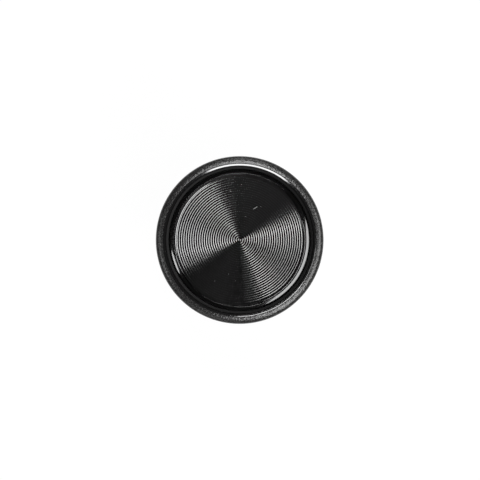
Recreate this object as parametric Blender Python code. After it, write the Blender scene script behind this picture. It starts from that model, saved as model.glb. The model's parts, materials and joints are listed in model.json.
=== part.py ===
"""Round panel push button of the 22 mm class: a flush grooved button in a textured bezel ring,
a threaded barrel with its gasket, washer and nut, and a contact block with one normally open
and one normally closed pole.

Units are metres. +Z points out of the panel's front, and the origin is on the button's axis
at the panel's front face.
"""

import math

import bmesh
import bpy
from mathutils import Matrix, Vector

# Clearances
FIT_GAP = 0.12e-3  # between pieces that sit on or in each other
SLIDE_GAP = 0.15e-3  # between pieces that slide past each other
STOP_GAP = 0.2e-3  # left under the cap at the end of its travel

# Panel that the button is clamped to
PANEL_THICKNESS = 3.0e-3
PANEL_MOST = 6.0e-3

# Bezel ring
BEZEL_DIAMETER = 29.5e-3
BEZEL_WALL = 1.15e-3
BEZEL_ROUND = 0.85e-3
BEZEL_CHAMFER = 0.3e-3
SNAP_HEIGHT = 0.27e-3
SNAP_LENGTH = 1.4e-3

# Actuator body: cup, flange and threaded barrel
CUP_WALL = 1.0e-3
LIP_BEAD = 0.26e-3
LIP_DROP = 0.25e-3
LIP_CONE = 1.5e-3
FLANGE_THICKNESS = 1.1e-3
BARREL_DIAMETER = 22.0e-3
BARREL_WALL = 2.4e-3
BARREL_CHAMFER = 0.5e-3
THREAD_RUNOUT = 1.0e-3
GUIDE_LENGTH = 4.0e-3
KEY_WIDTH = 3.0e-3
KEY_HEIGHT = 1.75e-3
KEY_DEPTH = 0.9e-3
KEYWAY_WIDTH = 2.1e-3
KEYWAY_DEPTH = 0.8e-3

# Panel gasket, thrust washer and lock nut
GASKET_WIDTH = 2.1e-3
GASKET_THICKNESS = 1.5e-3
GASKET_CHAMFER = 0.3e-3
WASHER_WIDTH = 1.8e-3
WASHER_THICKNESS = 1.0e-3
NUT_WALL = 2.1e-3
NUT_THICKNESS = 5.0e-3
NUT_CHAMFER = 0.35e-3
NUT_GRIPS = 12
NUT_GRIP_DIAMETER = 2.6e-3

# Button: cap, plate, seal ring, plunger and retaining clip
BUTTON_TRAVEL = 4.0e-3
CAP_DROP = 0.8e-3
CAP_RIM = 0.62e-3
SEAL_CORD = 0.8e-3
SEAL_SHOULDER = 0.2e-3
SEAL_LAND = 0.25e-3
PLATE_DROP = 0.35e-3
PLATE_THICKNESS = 0.9e-3
PLATE_CHAMFER = 0.15e-3
PLATE_BORDER = 0.3e-3
PLATE_BORDER_RISE = 0.1e-3
PLATE_STUB_DIAMETER = 3.0e-3
PLATE_STUB_LENGTH = 0.7e-3
GROOVE_PITCH = 0.4e-3
GROOVE_DEPTH = 0.08e-3
SHAFT_DIAMETER = 8.0e-3
SPIGOT_DIAMETER = 5.7e-3
SPIGOT_LENGTH = 4.0e-3
BOSS_WALL = 1.6e-3
BOSS_LENGTH = 4.6e-3
CLIP_DIAMETER = 10.4e-3
CLIP_THICKNESS = 0.8e-3
CLIP_GROOVE_DEPTH = 0.7e-3
CLIP_SPLIT = 2.4e-3
TIP_LENGTH = 2.3e-3

# Springs, by the wire's thickness, the mean radius and the turns
RETURN_SPRING_WIRE = 0.9e-3
RETURN_SPRING_RADIUS = 6.6e-3
RETURN_SPRING_TURNS = 6
CARRIER_SPRING_WIRE = 0.4e-3
CARRIER_SPRING_RADIUS = 1.1e-3
CARRIER_SPRING_TURNS = 8
CONTACT_SPRING_WIRE = 0.4e-3
CONTACT_SPRING_RADIUS = 1.3e-3
CONTACT_SPRING_TURNS = 3.5
NO_SPRING_LENGTH = 4.5e-3
NC_SPRING_LENGTH = 3.9e-3
LEAST_COIL_GAP = 0.4e-3

# Contact housing and rear cover
HOUSING_WIDTH = 20.0e-3
HOUSING_DEPTH = 24.0e-3
HOUSING_CORNER = 3.0e-3
HOUSING_WALL = 1.4e-3
HOUSING_FRONT_WALL = 2.0e-3
COVER_THICKNESS = 2.4e-3
COVER_POST_DIAMETER = 1.4e-3
COVER_POST_LENGTH = 2.5e-3
ASSEMBLY_SCREW_DIAMETER = 2.3e-3
ASSEMBLY_HEAD_DIAMETER = 3.8e-3
ASSEMBLY_HEAD_HEIGHT = 1.4e-3
ASSEMBLY_INSET = 2.35e-3
ASSEMBLY_GRIP = 3.1e-3

# Contact carrier and the two poles
POLE_MARGIN = 3.0e-3  # from a pole's middle to the housing's side wall
PILLAR_DEPTH = 4.75e-3  # of the blocks that carry the terminals
CARRIER_BAR = 1.4e-3
CARRIER_NC_BAR = 2.6e-3
CARRIER_NECK_DIAMETER = 6.0e-3
CARRIER_NECK_LENGTH = 1.6e-3
CARRIER_STEM_WIDTH = 4.0e-3
CARRIER_BORE_DIAMETER = 3.0e-3
CARRIER_BORE_LENGTH = 6.5e-3
OVERTRAVEL = 1.4e-3  # how far the carrier moves on after a bridge has landed
CONTACT_GAP = 0.1e-3  # left between closed contacts
BRIDGE_WIDTH = 3.6e-3
BRIDGE_THICKNESS = 0.7e-3
CONTACT_INSET = 1.5e-3
CONTACT_DIAMETER = 2.6e-3
CONTACT_HEIGHT = 0.6e-3
CONTACT_SHANK_DIAMETER = 1.4e-3
CONTACT_SHANK_LENGTH = 0.6e-3

# Terminals
STRIP_WIDTH = 4.4e-3
STRIP_THICKNESS = 0.7e-3
STRIP_OVERHANG = 1.2e-3
STRIP_CLEARANCE = 0.4e-3
TERMINAL_INSET = 2.6e-3
POCKET_WIDTH = 5.4e-3
WIRE_GAP = 4.5e-3
CLAMP_WIDTH = 5.0e-3
CLAMP_DEPTH = 4.0e-3
CLAMP_THICKNESS = 0.9e-3
TERMINAL_SCREW_DIAMETER = 3.0e-3
TERMINAL_HEAD_DIAMETER = 4.2e-3
TERMINAL_HEAD_HEIGHT = 2.1e-3
TERMINAL_SCREW_REACH = 2.6e-3  # how far the shank stands out in front of its strip
DRIVER_SLOT_WIDTH = 0.8e-3
DRIVER_SLOT_DEPTH = 1.0e-3

# How finely round pieces are faceted
LARGE_SIDES = 48
PLATE_SIDES = 28
MEDIUM_SIDES = 24
SCREW_SIDES = 16
SMALL_SIDES = 12
ARC_STEPS = 3
COIL_POINTS = 8
PAST = 1.0e-3  # how far a cutter runs past the wall that it cuts

# Radii, from the bezel inwards
bezel_r = BEZEL_DIAMETER / 2
bezel_inner_r = bezel_r - BEZEL_WALL
cup_r = bezel_inner_r - FIT_GAP
bore_r = cup_r - CUP_WALL
cap_r = bore_r - SLIDE_GAP
recess_r = cap_r - CAP_RIM
plate_r = recess_r - FIT_GAP
barrel_r = BARREL_DIAMETER / 2
gasket_inner_r = barrel_r + SLIDE_GAP
gasket_r = gasket_inner_r + GASKET_WIDTH
key_r = barrel_r + KEY_HEIGHT
washer_inner_r = barrel_r + SLIDE_GAP
washer_r = washer_inner_r + WASHER_WIDTH
nut_inner_r = barrel_r + FIT_GAP
nut_r = nut_inner_r + NUT_WALL
chamber_r = barrel_r - BARREL_WALL
shaft_r = SHAFT_DIAMETER / 2
guide_r = shaft_r + SLIDE_GAP
socket_r = SPIGOT_DIAMETER / 2 + FIT_GAP

# Levels in front of the panel
flange_bottom = GASKET_THICKNESS + FIT_GAP
cup_floor = flange_bottom + FLANGE_THICKNESS
cap_bottom = cup_floor + STOP_GAP + BUTTON_TRAVEL
seal_bottom = cap_bottom + SEAL_SHOULDER
seal_top = seal_bottom + SEAL_CORD + 2 * FIT_GAP
plate_seat = seal_top + SEAL_LAND
plate_bottom = plate_seat + FIT_GAP
plate_top = plate_bottom + PLATE_THICKNESS
cap_top = plate_top + PLATE_DROP
bezel_top = cap_top + CAP_DROP
lip_top = bezel_top - LIP_DROP
boss_bottom = cap_bottom - BOSS_LENGTH

# Levels behind the panel
washer_front = -PANEL_THICKNESS
nut_front = washer_front - WASHER_THICKNESS - FIT_GAP
barrel_rear = -(PANEL_MOST + WASHER_THICKNESS + FIT_GAP + NUT_THICKNESS + THREAD_RUNOUT)
chamber_floor = barrel_rear + GUIDE_LENGTH
clip_front = barrel_rear - FIT_GAP
clip_rear = clip_front - CLIP_THICKNESS
plunger_rear = clip_rear - TIP_LENGTH
housing_front = barrel_rear - FIT_GAP
cavity_front = housing_front - HOUSING_FRONT_WALL

# Levels of the carrier and of the normally open pole, whose bridge moves back on to its contacts
neck_front = plunger_rear - FIT_GAP
carrier_front = neck_front - CARRIER_NECK_LENGTH
no_window_front = carrier_front - CARRIER_BAR
no_bridge_front = no_window_front - NO_SPRING_LENGTH - 2 * FIT_GAP
no_bridge_rear = no_bridge_front - BRIDGE_THICKNESS
no_window_rear = no_bridge_rear - FIT_GAP
no_contact_face = no_bridge_rear - FIT_GAP - CONTACT_HEIGHT
bridge_travel = BUTTON_TRAVEL - OVERTRAVEL
no_fixed_face = no_contact_face - bridge_travel - CONTACT_GAP
strip_front = no_fixed_face - CONTACT_HEIGHT - FIT_GAP
strip_rear = strip_front - STRIP_THICKNESS

# Levels of the normally closed pole, whose bridge moves back off its contacts
nc_window_front = carrier_front - CARRIER_NC_BAR
nc_bridge_front = nc_window_front - FIT_GAP - OVERTRAVEL
nc_bridge_rear = nc_bridge_front - BRIDGE_THICKNESS
nc_contact_face = nc_bridge_front + FIT_GAP + CONTACT_HEIGHT
nc_fixed_face = nc_contact_face + CONTACT_GAP
nc_arm_rear = nc_fixed_face + CONTACT_HEIGHT + FIT_GAP
nc_arm_front = nc_arm_rear + STRIP_THICKNESS
nc_window_rear = nc_bridge_rear - NC_SPRING_LENGTH - 2 * FIT_GAP
carrier_rear = min(nc_window_rear, no_window_rear) - CARRIER_BAR

# Levels of the terminals and of the rear cover, which leaves room for the carrier's travel
clamp_front = min(strip_rear - WIRE_GAP, carrier_rear - BUTTON_TRAVEL)
clamp_rear = clamp_front - CLAMP_THICKNESS
head_front = clamp_rear - FIT_GAP
housing_rear = head_front
cover_front = housing_rear - FIT_GAP
cover_rear = cover_front - COVER_THICKNESS
assembly_head_front = cover_rear + ASSEMBLY_HEAD_HEIGHT
carrier_bore_front = carrier_rear + CARRIER_BORE_LENGTH

# Plan of the contact block
cavity_x = HOUSING_WIDTH / 2 - HOUSING_WALL
cavity_y = HOUSING_DEPTH / 2 - HOUSING_WALL
pole_x = cavity_x - POLE_MARGIN
pillar_y = cavity_y - PILLAR_DEPTH
assembly_y = pillar_y + ASSEMBLY_INSET
terminal_y = pillar_y + TERMINAL_INSET
bridge_y = pillar_y - SLIDE_GAP
contact_y = bridge_y - CONTACT_INSET
strip_inner_y = contact_y - STRIP_OVERHANG
carrier_x = cavity_x - SLIDE_GAP
carrier_y = strip_inner_y - STRIP_CLEARANCE
window_half = BRIDGE_WIDTH / 2 + SLIDE_GAP
strip_outer_y = cavity_y - SLIDE_GAP
leg_inner_y = pillar_y + SLIDE_GAP
leg_outer_y = leg_inner_y + STRIP_THICKNESS
neck_hole_r = CLIP_DIAMETER / 2 + 2 * SLIDE_GAP


def finish(name, colour, roughness, metallic=0.0):
    """A plain material for one kind of piece."""
    made = bpy.data.materials.new(name)
    made.use_nodes = True
    shader = made.node_tree.nodes["Principled BSDF"]
    shader.inputs["Base Color"].default_value = (*colour, 1.0)
    shader.inputs["Roughness"].default_value = roughness
    shader.inputs["Metallic"].default_value = metallic
    made.diffuse_color = (*colour, 1.0)
    return made


def add_object(name, mesh, material=None, parent=None, location=(0, 0, 0), turn=0.0):
    """An object for a mesh or a curve, turned about Z and placed."""
    made = bpy.data.objects.new(name, mesh)
    bpy.context.scene.collection.objects.link(made)
    if material and not mesh.materials:
        mesh.materials.append(material)
    made.parent = parent
    made.location = location
    made.rotation_euler = (0, 0, turn)
    return made


def mesh_from(name, bm, smooth=True):
    """The mesh of a bmesh, closed, facing outwards and shaded smooth except at its edges."""
    bmesh.ops.remove_doubles(bm, verts=bm.verts, dist=1e-8)
    bmesh.ops.recalc_face_normals(bm, faces=bm.faces)
    mesh = bpy.data.meshes.new(name)
    bm.to_mesh(mesh)
    bm.free()
    if smooth:
        mesh.shade_smooth()
        mesh.set_sharp_from_angle(angle=math.radians(40))
    return mesh


def turned(name, outline, sides):
    """A mesh turned about Z from (radius, level) points. An outline that leaves the axis and
    comes back to it is a solid, and any other is closed into a ring."""
    bm = bmesh.new()
    points = [bm.verts.new((r, 0, z)) for r, z in outline]
    edges = [bm.edges.new(pair) for pair in zip(points, points[1:])]
    if outline[0][0] > 0 or outline[-1][0] > 0:
        edges.append(bm.edges.new((points[-1], points[0])))
    bmesh.ops.spin(
        bm,
        geom=points + edges,
        cent=(0, 0, 0),
        axis=(0, 0, 1),
        angle=math.tau,
        steps=sides,
        use_merge=True,
    )
    return mesh_from(name, bm)


def extruded(name, outline, low, high, along_x=False):
    """A prism along Z from an outline of (x, y) points, or along X from one of (y, z) points."""
    bm = bmesh.new()
    points = [(low, a, b) if along_x else (a, b, low) for a, b in outline]
    face = bm.faces.new([bm.verts.new(point) for point in points])
    grown = bmesh.ops.extrude_face_region(bm, geom=[face])["geom"]
    shift = Vector((1, 0, 0) if along_x else (0, 0, 1)) * (high - low)
    moved = [part for part in grown if isinstance(part, bmesh.types.BMVert)]
    bmesh.ops.translate(bm, verts=moved, vec=shift)
    return mesh_from(name, bm)


def rectangle(low_a, high_a, low_b, high_b):
    return [(low_a, low_b), (high_a, low_b), (high_a, high_b), (low_a, high_b)]


def block(name, x, y, z):
    """A rectangular mesh between pairs of limits."""
    return extruded(name, rectangle(*x, *y), *z)


def cylinder(name, radius, low, high, sides):
    return turned(name, [(0, low), (radius, low), (radius, high), (0, high)], sides)


def arc(centre_r, centre_z, radius, start, end):
    """Points on an arc of an outline, with its angles in degrees."""
    angles = [math.radians(start + (end - start) * i / ARC_STEPS) for i in range(ARC_STEPS + 1)]
    return [(centre_r + radius * math.cos(a), centre_z + radius * math.sin(a)) for a in angles]


def rounded_rectangle(width, depth, corner):
    """The outline of a rectangle with round corners, about the axis."""
    x, y = width / 2 - corner, depth / 2 - corner
    corners = [(x, y, 0), (-x, y, 90), (-x, -y, 180), (x, -y, 270)]
    return [point for cx, cy, start in corners for point in arc(cx, cy, corner, start, start + 90)]


def change(target, tool_mesh, operation, location=(0, 0, 0), turn=0.0):
    """Cuts a hidden tool shape out of an object, or joins it on, with a Boolean."""
    tool = add_object(f"{target.name}_tool", tool_mesh, None, None, location, turn)
    tool.hide_render = True
    tool.display_type = "WIRE"
    modifier = target.modifiers.new(operation.lower(), "BOOLEAN")
    modifier.operation = operation
    modifier.object = tool


def cut(target, tool_mesh, location=(0, 0, 0), turn=0.0):
    change(target, tool_mesh, "DIFFERENCE", location, turn)


def join(target, tool_mesh, location=(0, 0, 0), turn=0.0):
    change(target, tool_mesh, "UNION", location, turn)


def least_gap(points, wire, near):
    """The least distance between stretches of a wire that aren't neighbours, less its thickness."""
    apart = min(
        (a - b).length
        for i, a in enumerate(points)
        for b in points[i + near :]
    )
    return apart - wire


def coil(name, wire, radius, turns, low, high, parent, place=(0, 0)):
    """A compression spring of round wire between two levels."""
    bottom, rise = low + wire / 2, high - low - wire
    count = round(turns * COIL_POINTS)
    points = []
    for i in range(count + 1):
        angle = math.tau * turns * i / count
        points.append(
            Vector((radius * math.cos(angle), radius * math.sin(angle), bottom + rise * i / count))
        )
    gap = least_gap(points, wire, COIL_POINTS // 2)
    print(f"{name}: least gap between curls {gap * 1000:.2f} mm")
    if gap < LEAST_COIL_GAP:
        raise ValueError(f"{name} is coiled too tightly")
    curve = bpy.data.curves.new(name, "CURVE")
    curve.dimensions = "3D"
    curve.bevel_depth = wire / 2
    curve.bevel_resolution = 1
    curve.use_fill_caps = True
    spline = curve.splines.new("POLY")
    spline.points.add(count)
    for point, at in zip(spline.points, points):
        point.co = (*at, 1)
    add_object(name, curve, steel, parent, (*place, 0))


def group(name):
    """An empty on the button's axis that carries the pieces which move together."""
    made = bpy.data.objects.new(name, None)
    bpy.context.scene.collection.objects.link(made)
    return made


def make_bezel_ring():
    """Front ring with a rounded rim, snapped over the body's cup."""
    rim = min(BEZEL_ROUND, 0.85 * BEZEL_WALL)
    inner_rim = BEZEL_WALL - rim
    crest_r = bezel_r - rim
    groove = snap_profile(bezel_inner_r, FIT_GAP)
    outline = [
        (bezel_inner_r, flange_bottom),
        *groove,
        *arc(crest_r, bezel_top - inner_rim, inner_rim, 180, 90),
        *arc(crest_r, bezel_top - rim, rim, 90, 0)[1:],
        (bezel_r, flange_bottom + BEZEL_CHAMFER),
        (bezel_r - BEZEL_CHAMFER, flange_bottom),
    ]
    mesh = turned("bezel_ring", outline, LARGE_SIDES)
    add_object("bezel_ring", mesh, textured_black, fixed)


def snap_profile(radius, grow):
    """The snap bead round the cup, or with a gap around it the groove in the bezel ring."""
    middle = (flange_bottom + bezel_top) / 2
    half = SNAP_LENGTH / 2 + grow
    flat = half - SNAP_HEIGHT
    return [
        (radius, middle - half),
        (radius + SNAP_HEIGHT, middle - flat),
        (radius + SNAP_HEIGHT, middle + flat),
        (radius, middle + half),
    ]


def make_actuator_body():
    """Cup that the button slides in, its flange, and the barrel behind the panel."""
    bead = min(LIP_BEAD, 0.45 * CUP_WALL)
    bead_r = cup_r - bead
    bead_z = lip_top - bead
    outline = [
        (bore_r, cup_floor),
        (bore_r, bead_z - LIP_CONE),
        *arc(bead_r, bead_z, bead, 180, 0),
        *reversed(snap_profile(cup_r, 0)),
        (cup_r, flange_bottom),
        (barrel_r, flange_bottom),
        (barrel_r, barrel_rear + BARREL_CHAMFER),
        (barrel_r - BARREL_CHAMFER, barrel_rear),
        (guide_r, barrel_rear),
        (guide_r, chamber_floor),
        (chamber_r, chamber_floor),
        (chamber_r, cup_floor),
    ]
    body = add_object("actuator_body", turned("actuator_body", outline, LARGE_SIDES), gloss_black, fixed)
    inside_y = barrel_r - BARREL_WALL / 2
    key = block(
        "panel_key",
        (-KEY_WIDTH / 2, KEY_WIDTH / 2),
        (inside_y, key_r),
        (-KEY_DEPTH, GASKET_THICKNESS),
    )
    join(body, key)
    keyway = block(
        "keyway",
        (-barrel_r - PAST, KEYWAY_DEPTH - barrel_r),
        (-KEYWAY_WIDTH / 2, KEYWAY_WIDTH / 2),
        (barrel_rear - PAST, -KEY_DEPTH),
    )
    cut(body, keyway)
    hole_r = ASSEMBLY_SCREW_DIAMETER / 2 + FIT_GAP
    hole_front = barrel_rear + ASSEMBLY_GRIP + FIT_GAP
    for side in (-1, 1):
        hole = cylinder("screw_hole", hole_r, barrel_rear - PAST, hole_front, SMALL_SIDES)
        cut(body, hole, (0, side * assembly_y, 0))


def make_panel_gasket():
    """Rubber ring that seals the flange to the panel, notched for the key."""
    outline = [
        (gasket_inner_r, 0),
        (gasket_r - GASKET_CHAMFER, 0),
        (gasket_r, GASKET_CHAMFER),
        (gasket_r, GASKET_THICKNESS - GASKET_CHAMFER),
        (gasket_r - GASKET_CHAMFER, GASKET_THICKNESS),
        (gasket_inner_r, GASKET_THICKNESS),
    ]
    gasket = add_object("panel_gasket", turned("panel_gasket", outline, LARGE_SIDES), rubber, fixed)
    half = KEY_WIDTH / 2 + FIT_GAP
    notch = block(
        "key_notch",
        (-half, half),
        (barrel_r - PAST, key_r + FIT_GAP),
        (-PAST, GASKET_THICKNESS + PAST),
    )
    cut(gasket, notch)


def make_thrust_washer():
    """Steel washer between panel and nut, kept from turning by a tooth in the barrel's keyway."""
    rear = washer_front - WASHER_THICKNESS
    ring = rectangle(washer_inner_r, washer_r, rear, washer_front)
    washer = add_object("thrust_washer", turned("thrust_washer", ring, LARGE_SIDES), zinc, washer_group)
    half = KEYWAY_WIDTH / 2 - SLIDE_GAP
    tooth = block(
        "tooth",
        (-(washer_inner_r + washer_r) / 2, KEYWAY_DEPTH - barrel_r - SLIDE_GAP),
        (-half, half),
        (rear, washer_front),
    )
    join(washer, tooth)


def make_lock_nut():
    """Round nut with finger grips in its rim."""
    rear = nut_front - NUT_THICKNESS
    edge = NUT_CHAMFER
    outline = [
        (nut_inner_r, rear + edge),
        (nut_inner_r + edge, rear),
        (nut_r - edge, rear),
        (nut_r, rear + edge),
        (nut_r, nut_front - edge),
        (nut_r - edge, nut_front),
        (nut_inner_r + edge, nut_front),
        (nut_inner_r, nut_front - edge),
    ]
    nut = add_object("lock_nut", turned("lock_nut", outline, LARGE_SIDES), dark_grey, nut_group)
    low, high = rear - PAST, nut_front + PAST
    grip = cylinder("grip", NUT_GRIP_DIAMETER / 2, low, high, SMALL_SIDES)
    for i in range(NUT_GRIPS):
        angle = math.tau * (i / NUT_GRIPS + 0.5 / LARGE_SIDES)
        cut(nut, grip, (nut_r * math.cos(angle), nut_r * math.sin(angle), 0), angle)


def make_button_cap():
    """Cup that carries the grooved plate and the seal ring, with a boss for the plunger."""
    rim = CAP_RIM / 2
    groove_r = bore_r - SLIDE_GAP / 2 - SEAL_CORD - FIT_GAP
    stub_r = PLATE_STUB_DIAMETER / 2 + FIT_GAP
    socket_top = boss_bottom + SPIGOT_LENGTH + FIT_GAP
    outline = [
        (0, plate_seat - PLATE_STUB_LENGTH),
        (stub_r, plate_seat - PLATE_STUB_LENGTH),
        (stub_r, plate_seat),
        (recess_r, plate_seat),
        *arc(cap_r - rim, cap_top - rim, rim, 180, 0),
        (cap_r, seal_top),
        (groove_r, seal_top),
        (groove_r, seal_bottom),
        (cap_r, seal_bottom),
        (cap_r, cap_bottom),
        (socket_r + BOSS_WALL, cap_bottom),
        (socket_r + BOSS_WALL, boss_bottom),
        (socket_r, boss_bottom),
        (socket_r, socket_top),
        (0, socket_top),
    ]
    add_object("button_cap", turned("button_cap", outline, LARGE_SIDES), gloss_black, button)


def make_button_plate():
    """Disc with concentric turned grooves, set in the cap by a stub."""
    stub_r = PLATE_STUB_DIAMETER / 2
    stub_bottom = plate_bottom - PLATE_STUB_LENGTH
    count = math.floor((plate_r - PLATE_BORDER) / GROOVE_PITCH)
    grooves = []
    for i in range(2 * count, -1, -1):
        grooves.append((i * GROOVE_PITCH / 2, plate_top - GROOVE_DEPTH * (i % 2)))
    outline = [
        (0, stub_bottom),
        (stub_r, stub_bottom),
        (stub_r, plate_bottom),
        (plate_r - PLATE_CHAMFER, plate_bottom),
        (plate_r, plate_bottom + PLATE_CHAMFER),
        (plate_r, plate_top + PLATE_BORDER_RISE - PLATE_CHAMFER),
        (plate_r - PLATE_CHAMFER, plate_top + PLATE_BORDER_RISE),
        *grooves,
    ]
    add_object("button_plate", turned("button_plate", outline, PLATE_SIDES), satin_black, button)


def make_cap_seal_ring():
    """O-ring in the cap's groove."""
    cord_r = SEAL_CORD / 2
    outer = bore_r - SLIDE_GAP / 2
    centre_z = seal_bottom + FIT_GAP + cord_r
    around = arc(outer - cord_r, centre_z, cord_r, 0, 180) + arc(outer - cord_r, centre_z, cord_r, 180, 360)
    ring = [*around[:ARC_STEPS], *around[ARC_STEPS + 1 : -1]]
    add_object("cap_seal_ring", turned("cap_seal_ring", ring, LARGE_SIDES), rubber, button)


def make_plunger():
    """Shaft from the cap through the barrel, grooved for its clip."""
    spigot_r = SPIGOT_DIAMETER / 2
    shoulder = boss_bottom - FIT_GAP
    neck_r = shaft_r - CLIP_GROOVE_DEPTH
    edge = CLIP_GROOVE_DEPTH / 2
    outline = [
        (0, shoulder + SPIGOT_LENGTH),
        (spigot_r, shoulder + SPIGOT_LENGTH),
        (spigot_r, shoulder),
        (shaft_r, shoulder),
        (shaft_r, clip_front + FIT_GAP),
        (neck_r, clip_front + FIT_GAP),
        (neck_r, clip_rear - FIT_GAP),
        (shaft_r, clip_rear - FIT_GAP),
        (shaft_r, plunger_rear + edge),
        (shaft_r - edge, plunger_rear),
        (0, plunger_rear),
    ]
    add_object("plunger", turned("plunger", outline, MEDIUM_SIDES), natural_white, button)


def make_retaining_clip():
    """Split ring on the plunger that stops the button at the barrel's rear face."""
    inner = shaft_r - CLIP_GROOVE_DEPTH + FIT_GAP
    ring = rectangle(inner, CLIP_DIAMETER / 2, clip_rear, clip_front)
    clip = add_object("retaining_clip", turned("retaining_clip", ring, MEDIUM_SIDES), steel, button)
    half = CLIP_SPLIT / 2
    split = block("split", (0, CLIP_DIAMETER), (-half, half), (clip_rear - PAST, clip_front + PAST))
    cut(clip, split)


def make_contact_housing():
    """Open-backed case with a channel for the carrier and a pocket for each terminal."""
    outline = rounded_rectangle(HOUSING_WIDTH, HOUSING_DEPTH, HOUSING_CORNER)
    shell = extruded("contact_housing", outline, housing_rear, housing_front)
    housing = add_object("contact_housing", shell, case_black, fixed)
    behind = housing_rear - PAST
    cut(housing, block("channel", (-cavity_x, cavity_x), (-pillar_y, pillar_y), (behind, cavity_front)))
    cut(housing, cylinder("neck_hole", neck_hole_r, cavity_front - PAST, housing_front + PAST, MEDIUM_SIDES))
    screw_r = ASSEMBLY_SCREW_DIAMETER / 2 + FIT_GAP
    tip_r = TERMINAL_SCREW_DIAMETER / 2 + 2 * FIT_GAP
    tip_front = strip_front + TERMINAL_SCREW_REACH + 2 * FIT_GAP
    shelf = strip_front + FIT_GAP
    for side in (-1, 1):
        bore = cylinder("assembly_bore", screw_r, behind, housing_front + PAST, SMALL_SIDES)
        cut(housing, bore, (0, side * assembly_y, 0))
        for pole in (-1, 1):
            x = pole * pole_x
            y = sorted((side * (pillar_y - PAST / 2), side * (HOUSING_DEPTH / 2 + PAST)))
            half = POCKET_WIDTH / 2
            cut(housing, block("terminal_pocket", (x - half, x + half), y, (behind, shelf)))
            tip = cylinder("screw_tip_hole", tip_r, shelf - PAST, tip_front, SMALL_SIDES)
            cut(housing, tip, (x, side * terminal_y, 0))
        y = sorted((side * (pillar_y - PAST / 2), side * (leg_outer_y + FIT_GAP)))
        half = STRIP_WIDTH / 2 + FIT_GAP
        x = (pole_x - half, pole_x + half)
        cut(housing, block("leg_slot", x, y, (shelf - PAST, nc_arm_front + FIT_GAP)))


def make_rear_cover():
    """Cover with a driver hole for each terminal and counterbores for the assembly screws."""
    outline = rounded_rectangle(HOUSING_WIDTH, HOUSING_DEPTH, HOUSING_CORNER)
    plate = extruded("rear_cover", outline, cover_rear, cover_front)
    cover = add_object("rear_cover", plate, case_grey, fixed)
    low, high = cover_rear - PAST, cover_front + PAST
    driver = cylinder("driver_hole", TERMINAL_HEAD_DIAMETER / 2 + 2 * SLIDE_GAP, low, high, MEDIUM_SIDES)
    screw = cylinder("screw_hole", ASSEMBLY_SCREW_DIAMETER / 2 + FIT_GAP, low, high, SMALL_SIDES)
    head_r = ASSEMBLY_HEAD_DIAMETER / 2 + FIT_GAP
    sink = cylinder("counterbore", head_r, low, assembly_head_front + FIT_GAP, MEDIUM_SIDES)
    for side in (-1, 1):
        cut(cover, screw, (0, side * assembly_y, 0))
        cut(cover, sink, (0, side * assembly_y, 0))
        for pole in (-1, 1):
            cut(cover, driver, (pole * pole_x, side * terminal_y, 0))
    post_r = COVER_POST_DIAMETER / 2
    post_front = cover_front + COVER_POST_LENGTH
    join(cover, cylinder("spring_post", post_r, cover_front - COVER_THICKNESS / 2, post_front, SMALL_SIDES))


def make_contact_carrier():
    """Sliding frame with a window for each bridge, a guide stem and a bore for its spring."""
    levels = (carrier_rear, carrier_front)
    frame = block("contact_carrier", (-carrier_x, carrier_x), (-carrier_y, carrier_y), levels)
    carrier = add_object("contact_carrier", frame, natural_white, button)
    stem_x = CARRIER_STEM_WIDTH / 2
    join(carrier, block("stem", (-stem_x, stem_x), (-bridge_y, bridge_y), levels))
    neck_low = carrier_front - CARRIER_BAR / 2
    join(carrier, cylinder("neck", CARRIER_NECK_DIAMETER / 2, neck_low, neck_front, MEDIUM_SIDES))
    windows = ((-1, no_window_rear, no_window_front), (1, nc_window_rear, nc_window_front))
    for pole, rear, front in windows:
        x = (pole * pole_x - window_half, pole * pole_x + window_half)
        cut(carrier, block("window", x, (-carrier_y - PAST, carrier_y + PAST), (rear, front)))
    bore_radius = CARRIER_BORE_DIAMETER / 2
    bore = cylinder("spring_bore", bore_radius, carrier_rear - PAST, carrier_bore_front, SMALL_SIDES)
    cut(carrier, bore)


def cut_strip_holes(strip, x, side):
    """Holes in a contact strip for its contact rivet and its terminal screw."""
    holes = ((CONTACT_SHANK_DIAMETER, contact_y), (TERMINAL_SCREW_DIAMETER, terminal_y))
    for diameter, offset in holes:
        radius = diameter / 2 + FIT_GAP
        hole = cylinder("strip_hole", radius, strip_rear - PAST, nc_arm_front + PAST, SMALL_SIDES)
        cut(strip, hole, (x, side * offset, 0))


def make_terminals():
    """Brass strips that run from the fixed contacts to the terminal screws."""
    flat = rectangle(strip_inner_y, strip_outer_y, strip_rear, strip_front)
    stepped = [
        (leg_inner_y, strip_rear),
        (strip_outer_y, strip_rear),
        (strip_outer_y, strip_front),
        (leg_outer_y, strip_front),
        (leg_outer_y, nc_arm_front),
        (strip_inner_y, nc_arm_front),
        (strip_inner_y, nc_arm_rear),
        (leg_inner_y, nc_arm_rear),
    ]
    half = STRIP_WIDTH / 2
    for pole, kind, outline in ((-1, "no", flat), (1, "nc", stepped)):
        for side, end in ((-1, "a"), (1, "b")):
            shape = [(side * y, z) for y, z in outline]
            name = f"{kind}_terminal_{end}"
            mesh = extruded(name, shape, -half, half, along_x=True)
            x = pole * pole_x
            strip = add_object(name, mesh, brass, fixed, (x, 0, 0))
            cut_strip_holes(strip, x, side)


def contact_rivet():
    """Mesh of a silver contact: a domed head whose face is at level 0 and a shank behind it."""
    head_r, shank_r = CONTACT_DIAMETER / 2, CONTACT_SHANK_DIAMETER / 2
    shank_rear = -CONTACT_HEIGHT - CONTACT_SHANK_LENGTH
    outline = [
        (0, shank_rear),
        (shank_r, shank_rear),
        (shank_r, -CONTACT_HEIGHT),
        (head_r, -CONTACT_HEIGHT),
        (head_r, -CONTACT_HEIGHT / 2),
        (head_r * 0.7, 0),
        (0, 0),
    ]
    return turned("contact_rivet", outline, SMALL_SIDES)


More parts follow.
